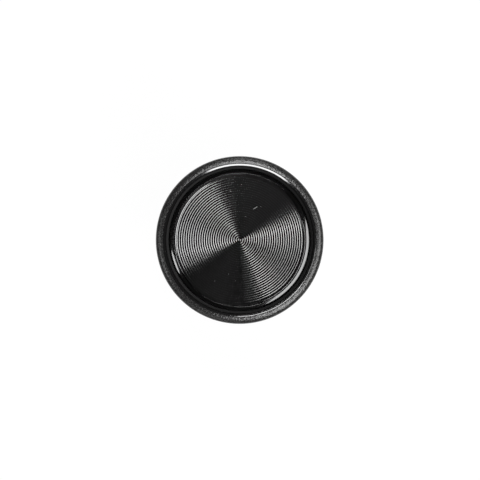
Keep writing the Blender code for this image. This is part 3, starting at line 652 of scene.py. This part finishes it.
def soften(piece, width):
    """Rounds the sharp edges of a piece."""
    sharp = math.radians(SHARP)
    apply(piece, "BEVEL", width=width, segments=2, limit_method="ANGLE", angle_limit=sharp)
    smooth(piece)
    apply(piece, "WEIGHTED_NORMAL", keep_sharp=True, weight=100)


def duplicate(name, piece):
    """A copy of an object with a mesh of its own."""
    twin = piece.copy()
    twin.data = piece.data.copy()
    twin.name = twin.data.name = name
    bpy.context.scene.collection.objects.link(twin)
    return twin


def softened_solid(name, node, width, slot, body):
    """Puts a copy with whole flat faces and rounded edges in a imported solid's place."""
    piece = duplicate(name, frame["nodes"][node])
    # Nothing that marks the solid as packed stays on the copy
    piece.parent = None
    for key in list(piece.keys()):
        del piece[key]
    hold(piece)
    bpy.ops.object.mode_set(mode="EDIT")
    bpy.ops.mesh.select_all(action="SELECT")
    bpy.ops.mesh.remove_doubles(threshold=MERGE)
    bpy.ops.mesh.dissolve_limited(angle_limit=math.radians(FLAT))
    bpy.ops.object.mode_set(mode="OBJECT")
    soften(piece, width)
    dress(piece, slot, body, node)


def arc(radius_at, level_at, radius, start, end, height=None):
    """Points along an arc of an outline, from angles in degrees. A height makes it an ellipse."""
    steps = sizes().arc_steps
    height = height or radius
    angles = [math.radians(start + (end - start) * i / steps) for i in range(steps + 1)]
    return [(radius_at + radius * math.cos(a), level_at + height * math.sin(a)) for a in angles]


def sloped_rim(inner, outer, crest, slope, edge):
    """Outline of a rim that falls outwards between rounded edges, from its inner side."""
    degrees = math.degrees(slope)
    inner_level = crest - edge
    drop = (outer - inner - 2 * edge) * math.tan(slope)
    return [
        *arc(inner + edge, inner_level, edge, 180, 90 - degrees),
        *arc(outer - edge, inner_level - drop, edge, 90 - degrees, 0),
    ]


def dress(piece, slot, body, *nodes, finish=None):
    """Gives a piece its material, the body that it rides on and the nodes that it replaces."""
    piece.data.materials.clear()
    piece.data.materials.append(material(finish or slot))
    if body:
        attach(piece, body)
    if nodes:
        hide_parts(*nodes)


class PieceOperator:
    """What the operators of all pieces share."""

    bl_options = {"REGISTER", "UNDO"}

    def execute(self, context):
        self.make(sizes())
        return {"FINISHED"}


class PUSHBUTTON_OT_bezel(PieceOperator, bpy.types.Operator):
    """Grained bezel ring with a rounded rim"""

    bl_idname = "push_button.bezel"
    bl_label = "Bezel ring"

    def make(self, size):
        outer, foot, crest = reach("bezel_ring"), bottom("bezel_ring"), top("bezel_ring")
        inner = outer - size.bezel_wall
        dome, fall = size.bezel_dome, size.bezel_round
        start = math.degrees(math.acos(1 - size.bezel_wall / dome))
        outline = [
            (inner, foot),
            *arc(outer - dome, crest - fall * math.sin(math.radians(start)), dome, start, 0, fall),
            (outer, foot + size.bezel_chamfer),
            (outer - size.bezel_chamfer, foot),
        ]
        dress(turned("bezel", outline, size.sides), "textured_black", "body", "bezel_ring")


class PUSHBUTTON_OT_body(PieceOperator, bpy.types.Operator):
    """Glossy cup with its lip, and the threaded barrel"""

    bl_idname = "push_button.body"
    bl_label = "Cup and barrel"

    def make(self, size):
        lip, rear = top("bezel_ring") - size.lip_drop, bottom("actuator_body")
        cup = reach("bezel_ring") - size.bezel_wall - size.bezel_gap
        bore = cup - size.cup_wall
        under = bottom("bezel_ring")
        floor = under + size.flange
        core = size.barrel_radius - size.thread_depth
        chamber = size.barrel_radius - size.barrel_wall
        runout = bottom("panel_gasket") - size.key_depth
        edge = size.bezel_chamfer
        shelf = lip - (size.lip_width - size.lip_edge) * math.tan(size.lip_slope)
        outline = [
            (bore, floor),
            (bore, lip - size.lip_cone),
            (cup - size.lip_width, lip),
            (cup - size.lip_edge, shelf),
            (cup, shelf - size.lip_edge * math.tan(size.lip_fall)),
            (cup, under),
            (size.barrel_radius, under),
            (size.barrel_radius, runout),
            (core, runout - edge),
            (core, rear + edge),
            (core - edge, rear),
            (size.guide_radius, rear),
            (size.guide_radius, rear + size.guide_length),
            (chamber, rear + size.guide_length),
            (chamber, floor),
        ]
        cup_piece = turned("cup_and_barrel", outline, size.sides)
        for end in ENDS:
            node = f"assembly_screw_{end}"
            at = middle(node)
            drill(cup_piece, size.assembly_shank + size.fit_gap, rear - PAST, top(node), at.xy)
        combine(cup_piece, self.keyway(size, rear, runout))
        smooth(cup_piece, degrees=4)
        dress(cup_piece, "gloss_black", "body", "actuator_body")
        self.make_thread(size, rear + edge, runout)
        half = size.key_width / 2
        key_reach = size.barrel_radius + size.key_height
        key_top = top("panel_gasket")
        key = block("panel_key", (-half, core, runout), (half, key_reach, key_top))
        soften(key, size.soft_edge)
        dress(key, "gloss_black", "body")

    def make_thread(self, size, low, high):
        radius, depth, pitch = size.barrel_radius, size.thread_depth, size.thread_pitch
        ridge = thread("barrel_thread", radius, depth, pitch, low, high, size.sides // 2)
        combine(ridge, self.keyway(size, low, high))
        smooth(ridge)
        dress(ridge, "gloss_black", "body")

    def keyway(self, size, low, high):
        """Cutter for the slot that the washer's tooth slides in."""
        half = size.keyway_width / 2
        corner = (-size.barrel_radius - PAST, -half, low - PAST)
        return block("keyway", corner, (size.keyway_depth - size.barrel_radius, half, high))


class PUSHBUTTON_OT_cap(PieceOperator, bpy.types.Operator):
    """Glossy cap with a sloped rim round the plate's recess, and its seal ring"""

    bl_idname = "push_button.cap"
    bl_label = "Button cap"

    def make(self, size):
        outer, crest, boss_end = reach("button_cap"), top("button_cap"), bottom("button_cap")
        seat = crest - size.cap_floor
        cord = size.seal_cord / 2
        seal_radius, seal_level = reach("cap_seal_ring") - cord, middle("cap_seal_ring").z
        room = cord + size.fit_gap
        groove_low, groove_high = seal_level - room, seal_level + room
        under = groove_low - size.cap_shoulder
        stub = size.stub_radius + size.fit_gap
        stub_end = bottom("button_plate") - size.fit_gap
        socket = size.spigot_radius + size.fit_gap
        socket_end = top("plunger") + size.fit_gap
        outline = [
            (0, stub_end),
            (stub, stub_end),
            (stub, seat),
            (outer - size.cap_rim, seat),
            *sloped_rim(outer - size.cap_rim, outer, crest, size.rim_slope, size.rim_round),
            (outer, groove_high),
            (seal_radius - room, groove_high),
            (seal_radius - room, groove_low),
            (outer, groove_low),
            (outer, under),
            (size.boss_radius, under),
            (size.boss_radius, boss_end),
            (socket, boss_end),
            (socket, socket_end),
            (0, socket_end),
        ]
        cap = turned("cap", outline, size.sides)
        dress(cap, "gloss_black", "button", "button_cap", finish="cap_black")
        ring = turned("seal", arc(seal_radius, seal_level, cord, 0, 360)[1:], size.sides)
        dress(ring, "rubber", "button", "cap_seal_ring")


class PUSHBUTTON_OT_plate(PieceOperator, bpy.types.Operator):
    """Plate with concentric turned grooves and a smooth border"""

    bl_idname = "push_button.plate"
    bl_label = "Grooved plate"

    def make(self, size):
        outer, edge = reach("button_plate"), size.plate_chamfer
        border, stub_end = top("button_plate"), bottom("button_plate")
        ramp = size.border_edge
        face = border - ramp * math.tan(size.border_slope)
        under = face - size.plate_thickness
        inner = size.groove_count * size.groove_pitch
        run = size.groove_width / 2 / size.flank_steps
        flank = [(size.groove_width / 2, face)]
        for i in range(size.flank_steps):
            share = i / (size.flank_steps - 1)
            slope = size.flank_head + (size.flank_foot - size.flank_head) * share
            flank.append((flank[-1][0] - run, flank[-1][1] - run * math.tan(slope)))
        flank += [(-r, z) for r, z in flank[-2::-1]]
        outline = [
            (0, stub_end),
            (size.stub_radius, stub_end),
            (size.stub_radius, under),
            (outer - edge, under),
            (outer, under + edge),
            (outer, face),
            (outer - ramp, border),
            (inner + ramp, border),
            (inner, face),
        ]
        for i in reversed(range(size.groove_count)):
            at = (i + 0.5) * size.groove_pitch
            outline += [(at + r, z) for r, z in flank]
        outline.append((0, face))
        plate = turned("plate", outline, size.sides)
        smooth(plate, degrees=15)
        dress(plate, "satin_black", "button", "button_plate")


class PUSHBUTTON_OT_clamping(PieceOperator, bpy.types.Operator):
    """Panel gasket, thrust washer and lock nut"""

    bl_idname = "push_button.clamping"
    bl_label = "Gasket, washer and nut"

    def make(self, size):
        softened_solid("gasket", "panel_gasket", size.soft_edge, "rubber", "body")
        softened_solid("washer", "thrust_washer", size.metal_edge, "zinc", "thrust_washer")
        outer, low, high = reach("lock_nut"), bottom("lock_nut"), top("lock_nut")
        inner, edge = size.barrel_radius + size.fit_gap, size.nut_chamfer
        outline = [
            (inner, low + edge),
            (inner + edge, low),
            (outer - edge, low),
            (outer, low + edge),
            (outer, high - edge),
            (outer - edge, high),
            (inner + edge, high),
            (inner, high - edge),
        ]
        nut = turned("nut", outline, size.sides)
        for i in range(size.nut_grips):
            angle = math.tau * i / size.nut_grips + size.nut_turn
            at = (outer * math.cos(angle), outer * math.sin(angle))
            drill(nut, size.nut_grip_radius, low - PAST, high + PAST, at)
        soften(nut, size.soft_edge)
        dress(nut, "dark_grey", "lock_nut", "lock_nut")


class PUSHBUTTON_OT_slider(PieceOperator, bpy.types.Operator):
    """Plunger, its retaining clip and the contact carrier"""

    bl_idname = "push_button.slider"
    bl_label = "Plunger, clip and carrier"

    def make(self, size):
        shaft, rear, front = reach("plunger"), bottom("plunger"), top("plunger")
        shoulder = front - size.spigot_length
        clip_low, clip_high = bottom("retaining_clip"), top("retaining_clip")
        neck, edge = shaft - size.clip_groove, size.clip_groove / 2
        outline = [
            (0, front),
            (size.spigot_radius, front),
            (size.spigot_radius, shoulder),
            (shaft, shoulder),
            (shaft, clip_high + size.fit_gap),
            (neck, clip_high + size.fit_gap),
            (neck, clip_low - size.fit_gap),
            (shaft, clip_low - size.fit_gap),
            (shaft, rear + edge),
            (shaft - edge, rear),
            (0, rear),
        ]
        plunger = turned("plunger_shaft", outline, size.small_sides)
        dress(plunger, "natural_white", "button", "plunger")
        clip_outer, clip_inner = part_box("retaining_clip")[1].y, neck + size.fit_gap
        ring = [
            (clip_inner, clip_low),
            (clip_outer, clip_low),
            (clip_outer, clip_high),
            (clip_inner, clip_high),
        ]
        clip = turned("split_clip", ring, size.small_sides)
        half = size.clip_split / 2
        corners = (0, -half, clip_low - PAST), (clip_outer + PAST, half, clip_high + PAST)
        combine(clip, block("split", *corners))
        soften(clip, size.metal_edge)
        dress(clip, "spring_steel", "button", "retaining_clip")
        softened_solid("carrier", "contact_carrier", size.soft_edge, "natural_white", "button")


class PUSHBUTTON_OT_case(PieceOperator, bpy.types.Operator):
    """Contact block's housing and rear cover"""

    bl_idname = "push_button.case"
    bl_label = "Housing and cover"

    def make(self, size):
        self.make_housing(size)
        self.make_cover(size)

    def rounded_block(self, name, low, high, size):
        """A box with round upright edges."""
        piece = block(name, low, high)
        hold(piece)
        bpy.ops.object.mode_set(mode="EDIT")
        bpy.ops.mesh.select_mode(type="EDGE")
        bpy.ops.mesh.select_all(action="DESELECT")
        shape = bmesh.from_edit_mesh(piece.data)
        for edge in shape.edges:
            a, b = (corner.co for corner in edge.verts)
            edge.select = a.xy == b.xy
        bmesh.update_edit_mesh(piece.data)
        bpy.ops.mesh.bevel(offset=size.case_corner, segments=size.arc_steps, affect="EDGES")
        bpy.ops.mesh.select_mode(type="VERT")
        bpy.ops.object.mode_set(mode="OBJECT")
        return piece

    def make_housing(self, size):
        low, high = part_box("contact_housing")
        housing = self.rounded_block("housing", low, high, size)
        behind = low.z - PAST
        wall = high.x - size.case_wall
        channel = (-wall, -size.pillar, behind), (wall, size.pillar, high.z - size.case_front)
        combine(housing, block("channel", *channel))
        clip_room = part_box("retaining_clip")[1].y + 2 * size.fit_gap
        drill(housing, clip_room, high.z - size.case_front - PAST, high.z + PAST)
        shelf = top("no_terminal_a") + size.fit_gap
        half, room = size.pocket_width / 2, 2 * size.fit_gap
        inside = size.pillar - PAST / 2
        for end in ENDS:
            at = middle(f"assembly_screw_{end}")
            drill(housing, size.assembly_shank + size.fit_gap, behind, high.z + PAST, at.xy)
            for pole in POLES:
                node = f"{pole}_terminal_screw_{end}"
                at = middle(node)
                side = math.copysign(1, at.y)
                y = sorted((side * inside, side * (high.y + PAST)))
                pocket = (at.x - half, y[0], behind), (at.x + half, y[1], shelf)
                combine(housing, block("pocket", *pocket))
                drill(housing, size.terminal_shank + room, shelf - PAST, top(node) + room, at.xy)
            # Only the strips of the closed pole have a leg that reaches past the shelf
            leg_low, leg_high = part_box(f"nc_terminal_{end}")
            y = sorted((side * inside, side * (size.pillar + size.strip + room)))
            leg = (leg_low.x, y[0], shelf - PAST), (leg_high.x, y[1], leg_high.z + size.fit_gap)
            combine(housing, block("leg_slot", *leg))
        soften(housing, size.soft_edge)
        dress(housing, "case_black", "body", "contact_housing")

    def make_cover(self, size):
        low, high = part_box("rear_cover")
        front = low.z + size.cover_thickness
        behind, past, gap = low.z - PAST, front + PAST, size.fit_gap
        cover = self.rounded_block("cover", low, (high.x, high.y, front), size)
        for end in ENDS:
            node = f"assembly_screw_{end}"
            at, head = middle(node).xy, reach(node)
            drill(cover, size.assembly_shank + gap, behind, past, at)
            drill(cover, head + gap, behind, low.z + size.assembly_head + gap, at)
            for pole in POLES:
                node = f"{pole}_terminal_screw_{end}"
                at = middle(node)
                drill(cover, reach(node) - at.x + 2 * gap, behind, past, at.xy)
        post = rod("post", size.post_radius, low.z + size.cover_thickness / 2, high.z)
        combine(cover, post, "UNION")
        soften(cover, size.soft_edge)
        dress(cover, "case_grey", "body", "rear_cover")


class PUSHBUTTON_OT_terminals(PieceOperator, bpy.types.Operator):
    """Terminal strips and clamp plates"""

    bl_idname = "push_button.terminals"
    bl_label = "Terminals"

    def make(self, size):
        for pole in POLES:
            for end in ENDS:
                node = f"{pole}_terminal_{end}"
                softened_solid(f"{node}_strip", node, size.metal_edge, "brass", "body")
                node = f"{pole}_terminal_clamp_{end}"
                softened_solid(f"{node}_plate", node, 2 * size.metal_edge, "zinc", "body")


class PUSHBUTTON_OT_contacts(PieceOperator, bpy.types.Operator):
    """Contact bridges and rivets"""

    bl_idname = "push_button.contacts"
    bl_label = "Contacts"

    def make(self, size):
        for pole in POLES:
            body = f"{pole}_bridge"
            softened_solid(f"{body}_bar", body, size.metal_edge, "copper", body)
            for end in ENDS:
                self.make_rivet(f"{pole}_fixed_contact_{end}", "body", pole == "no", size)
                self.make_rivet(f"{pole}_bridge_contact_{end}", body, pole == "nc", size)

    def make_rivet(self, node, body, faces_front, size):
        """A rivet with a domed head, facing the front or the rear."""
        low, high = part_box(node)
        at = middle(node)
        head, height = high.x - at.x, high.z - low.z
        edge = size.contact_head / 2
        outline = [
            (0, 0),
            (size.contact_shank, 0),
            (size.contact_shank, height - size.contact_head),
            (head, height - size.contact_head),
            *arc(head - edge, height - edge, edge, 0, 80),
            (0, height),
        ]
        start, way = (low.z, 1) if faces_front else (high.z, -1)
        outline = [(r, start + way * z) for r, z in outline]
        dress(turned(f"{node}_rivet", outline, size.small_sides, at.xy), "silver", body, node)


class PUSHBUTTON_OT_screws(PieceOperator, bpy.types.Operator):
    """Terminal screws and assembly screws, threaded and with cross recesses"""

    bl_idname = "push_button.screws"
    bl_label = "Screws"

    def make(self, size):
        nodes = [f"{pole}_terminal_screw_{end}" for pole in POLES for end in ENDS]
        self.make_set(nodes, size.terminal_head, size.terminal_shank, TERMINAL_PITCH, size)
        nodes = [f"assembly_screw_{end}" for end in ENDS]
        self.make_set(nodes, size.assembly_head, size.assembly_shank, ASSEMBLY_PITCH, size)

    def make_set(self, nodes, head_height, shank, pitch, size):
        """Models one screw on the button's axis and moves a copy of it to each node."""
        low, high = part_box(nodes[0])
        head = (high.x - low.x) / 2
        seat, edge = low.z + head_height, head_height / 4
        depth = pitch * SCREW_THREAD
        root = shank - depth
        outline = [
            (0, low.z),
            *arc(head - edge, low.z + edge, edge, -90, 0),
            (head, seat),
            (root, seat),
            (root, high.z - edge),
            (root - edge / 2, high.z),
            (0, high.z),
        ]
        screw = turned("screw", outline, size.small_sides)
        start, end, sides = seat + pitch, high.z - edge, size.small_sides // 2
        combine(screw, thread("ridge", shank, depth, pitch, start, end, sides), "UNION")
        half, wide = size.driver_slot / 2, head * RECESS_REACH
        for x, y in ((wide, half), (half, wide)):
            slot = (-x, -y, low.z - PAST), (x, y, low.z + head_height * RECESS_DEPTH)
            combine(screw, block("slot", *slot))
        close_up(screw)
        for node in nodes:
            piece = duplicate(f"{node}_threaded", screw)
            move(piece, middle(node).xy)
            dress(piece, "zinc", "body", node)
        bpy.data.objects.remove(screw)


class PUSHBUTTON_OT_springs(PieceOperator, bpy.types.Operator):
    """Return spring, carrier spring and contact springs"""

    bl_idname = "push_button.springs"
    bl_label = "Springs"

    def make(self, size):
        self.make_spring("return_spring", size.return_wire, 6, "body", "button_press")
        self.make_spring("carrier_spring", size.fine_wire, 8, "body", "button_press")
        turns, joint = 3.5, "no_bridge_travel"
        self.make_spring("no_contact_spring", size.fine_wire, turns, "no_bridge", joint)
        self.make_spring("nc_contact_spring", size.fine_wire, turns)

    def make_spring(self, node, wire, turns, body=None, joint=None):
        """A spring of round wire in a node's place. With a joint it gets a mesh of its own;
        otherwise its place is applied to its mesh.
        """
        low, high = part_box(node)
        at = middle(node)
        # A coil's box is a little off its axis, which lies at y 0 on a whole tenth of a millimetre
        at.y = 0
        at.x = round(at.x, 4)
        radius = high.y - wire / 2
        piece = coil(f"{node}_coil", wire, radius, turns, low.z, high.z, at.xy)
        dress(piece, "spring_steel", body, node)
        if joint:
            keep = 1 - TRAVEL[joint] / (high.z - low.z)
            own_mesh(piece)
        else:
            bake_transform(piece)


class PUSHBUTTON_OT_stage(PieceOperator, bpy.types.Operator):
    """Floor, lamps, world and camera"""

    bl_idname = "push_button.stage"
    bl_label = "Stage"

    def make(self, size):
        self.make_floor(size)
        self.make_world()
        crest = top("bezel_ring")
        for name, settings in LAMPS.items():
            self.make_lamp(name, crest, *settings)
        eye = bpy.data.cameras.new("camera")
        eye.sensor_width = SENSOR
        eye.lens = eye.sensor_width * size.camera_height / size.view_width
        eye.clip_start, eye.clip_end = CLIP
        camera = bpy.data.objects.new("camera", eye)
        camera.location = (*CAMERA_SHIFT, crest + size.camera_height)
        bpy.context.scene.collection.objects.link(camera)
        bpy.context.scene.camera = camera
        bpy.context.scene.view_settings.view_transform = "Standard"

    def make_floor(self, size):
        """A white floor that is clear from below, so that the rear can be seen."""
        deselect()
        at = (0, 0, bottom("rear_cover") - size.floor_drop)
        bpy.ops.mesh.primitive_circle_add(
            vertices=96, radius=FLOOR_RADIUS, fill_type="NGON", location=at
        )
        floor = newest("floor")
        paint = Paint(bpy.data.materials.new("floor"))
        paint.finish(colours().floor, 0.7 + 0.1 * paint.noise(8e-3, detail=3.0))
        rays = paint.outputs("ShaderNodeLightPath")
        seen = rays["Is Camera Ray"] + rays["Is Glossy Ray"] + rays["Is Transmission Ray"]
        plain = Value(paint, paint.tree.nodes["Principled BSDF"].outputs[0])
        glow = paint.node("ShaderNodeEmission", {}, {"Color": (1, 1, 1, 1), "Strength": 1.0})
        share = paint.maths("MINIMUM", seen, 1.0) * FLOOR_GLOW
        lit = paint.node("ShaderNodeMixShader", {}, {0: share, 1: plain, 2: glow})
        clear = paint.node("ShaderNodeBsdfTransparent")
        under = paint.outputs("ShaderNodeNewGeometry")["Backfacing"] * rays["Is Camera Ray"]
        mixed = paint.node("ShaderNodeMixShader", {}, {0: under, 1: lit, 2: clear})
        paint.feed(paint.tree.nodes["Material Output"].inputs["Surface"], mixed)
        floor.data.materials.append(paint.owner)

    def make_world(self):
        """A studio that is white to the camera, and to the button pale low down and dark above."""
        world = bpy.data.worlds.new("studio")
        paint = Paint(world)
        height = paint.outputs("ShaderNodeSeparateXYZ", Vector=paint.place)["Z"]
        strength = paint.span(height, *HORIZON, *STUDIO)
        seen = paint.outputs("ShaderNodeLightPath")["Is Camera Ray"]
        background = paint.tree.nodes["Background"]
        background.inputs["Color"].default_value = (1, 1, 1, 1)
        paint.feed(background.inputs["Strength"], paint.maths("MAXIMUM", strength, seen))
        bpy.context.scene.world = world

    def make_lamp(self, name, level, azimuth, height, width, depth, watts):
        """A soft lamp that faces the bezel."""
        light = bpy.data.lights.new(name, "AREA")
        light.shape = "ELLIPSE"
        light.size, light.size_y = width, depth
        light.energy = watts
        a, h = math.radians(azimuth), math.radians(height)
        way = Vector((math.cos(a) * math.cos(h), math.sin(a) * math.cos(h), math.sin(h)))
        lamp = bpy.data.objects.new(name, light)
        lamp.location = way * LAMP_DISTANCE + Vector((0, 0, level))
        lamp.rotation_euler = way.to_track_quat("Z", "Y").to_euler()
        bpy.context.scene.collection.objects.link(lamp)


OPERATORS = tuple(PieceOperator.__subclasses__())


class PUSHBUTTON_PT_panel(bpy.types.Panel):
    """Lists the push button's pieces, sizes and colours in the sidebar"""

    bl_idname = "PUSHBUTTON_PT_panel"
    bl_label = "Push button"
    bl_space_type = "VIEW_3D"
    bl_region_type = "UI"
    bl_category = "Push button"

    def draw(self, context):
        for operator in OPERATORS:
            self.layout.operator(operator.bl_idname)
        for group in (sizes(), colours()):
            for name in group.__annotations__:
                self.layout.prop(group, name, text=name.replace("_", " ").capitalize())


CLASSES = (PushButtonSizes, PushButtonColours, *OPERATORS, PUSHBUTTON_PT_panel)


def register():
    for made in CLASSES:
        bpy.utils.register_class(made)
    bpy.types.Scene.push_button_sizes = PointerProperty(type=PushButtonSizes)
    bpy.types.Scene.push_button_colours = PointerProperty(type=PushButtonColours)


def unregister():
    del bpy.types.Scene.push_button_sizes
    del bpy.types.Scene.push_button_colours
    for made in reversed(CLASSES):
        bpy.utils.unregister_class(made)


def main():
    register()
    for operator in OPERATORS:
        group, name = operator.bl_idname.split(".")
        getattr(getattr(bpy.ops, group), name)()


if __name__ == "__main__":
    main()
